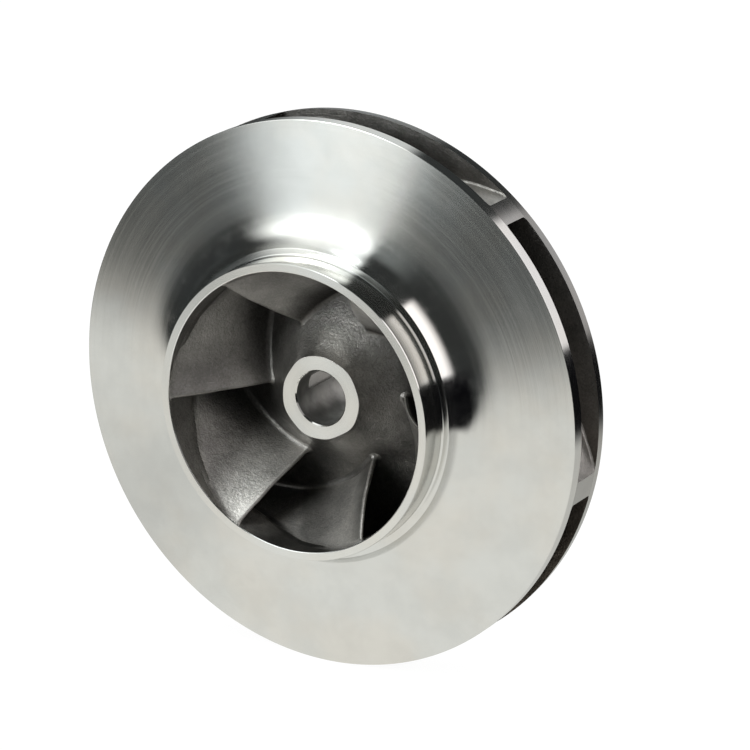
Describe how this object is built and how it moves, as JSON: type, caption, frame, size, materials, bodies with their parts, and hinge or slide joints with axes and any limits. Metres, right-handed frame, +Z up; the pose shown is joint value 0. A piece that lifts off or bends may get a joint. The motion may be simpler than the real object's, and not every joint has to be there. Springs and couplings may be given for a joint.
{
  "type": "pump impeller",
  "caption": "Closed centrifugal pump impeller: suction neck with eye, turned front and rear shrouds, backward-swept vanes and a keyed hub bore.",
  "frame": {"origin": "on the shaft axis, in the plane of the hub's rear seat, where the shaft shoulder meets the hub", "axes": "+Y along the shaft axis, out of the rear of the hub; the suction eye faces -Y; +Z up with the axis level; +X to the right seen from the eye"},
  "size_m": [0.24, 0.0625, 0.24],
  "materials": {
    "turned_steel": "turned and lightly polished",
    "cast_steel": "as cast, shot blasted"
  },
  "bodies": {
    "root": {"front_shroud": "turned_steel", "rear_shroud": "turned_steel", "hub": "cast_steel", "vane_1": "cast_steel", "vane_2": "cast_steel", "vane_3": "cast_steel", "vane_4": "cast_steel", "vane_5": "cast_steel", "vane_6": "cast_steel"}
  },
  "joints": []
}
